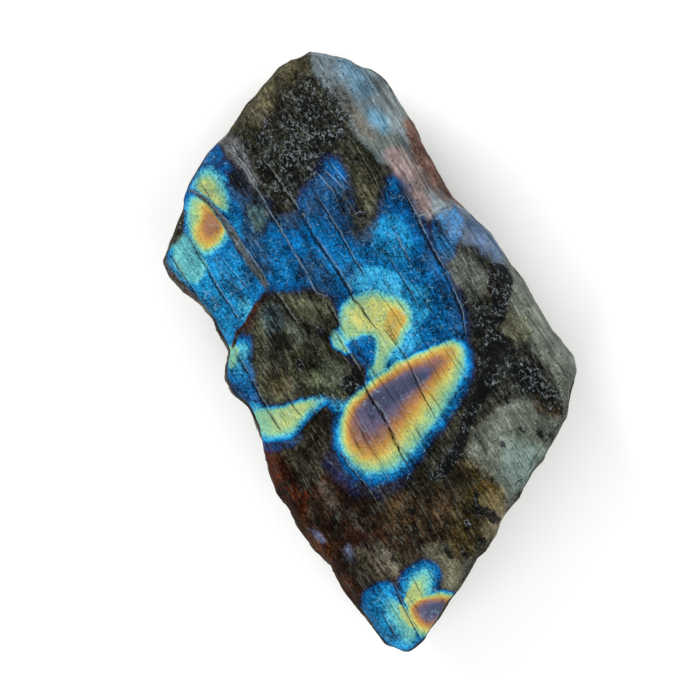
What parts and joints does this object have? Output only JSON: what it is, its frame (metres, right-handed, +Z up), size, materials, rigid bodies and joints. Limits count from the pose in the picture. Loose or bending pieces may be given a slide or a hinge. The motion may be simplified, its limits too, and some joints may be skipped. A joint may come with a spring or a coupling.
{
  "type": "rough labradorite chunk",
  "caption": "Slab-like broken chunk of labradorite with a cleavage face up, rainbow flash patches and a flat back to rest on.",
  "frame": {"origin": "middle of the stone's plan, on the surface it rests on", "axes": "+Z up through the stone's thickness, +Y along its length from the pointed end to the crown, +X across it to the right"},
  "size_m": [0.0692, 0.1006, 0.0255],
  "materials": {
    "labradorite": "cleaved, part glossy, part rough, with labradorescence"
  },
  "bodies": {
    "root": {"labradorite_chunk": "labradorite"}
  },
  "joints": []
}
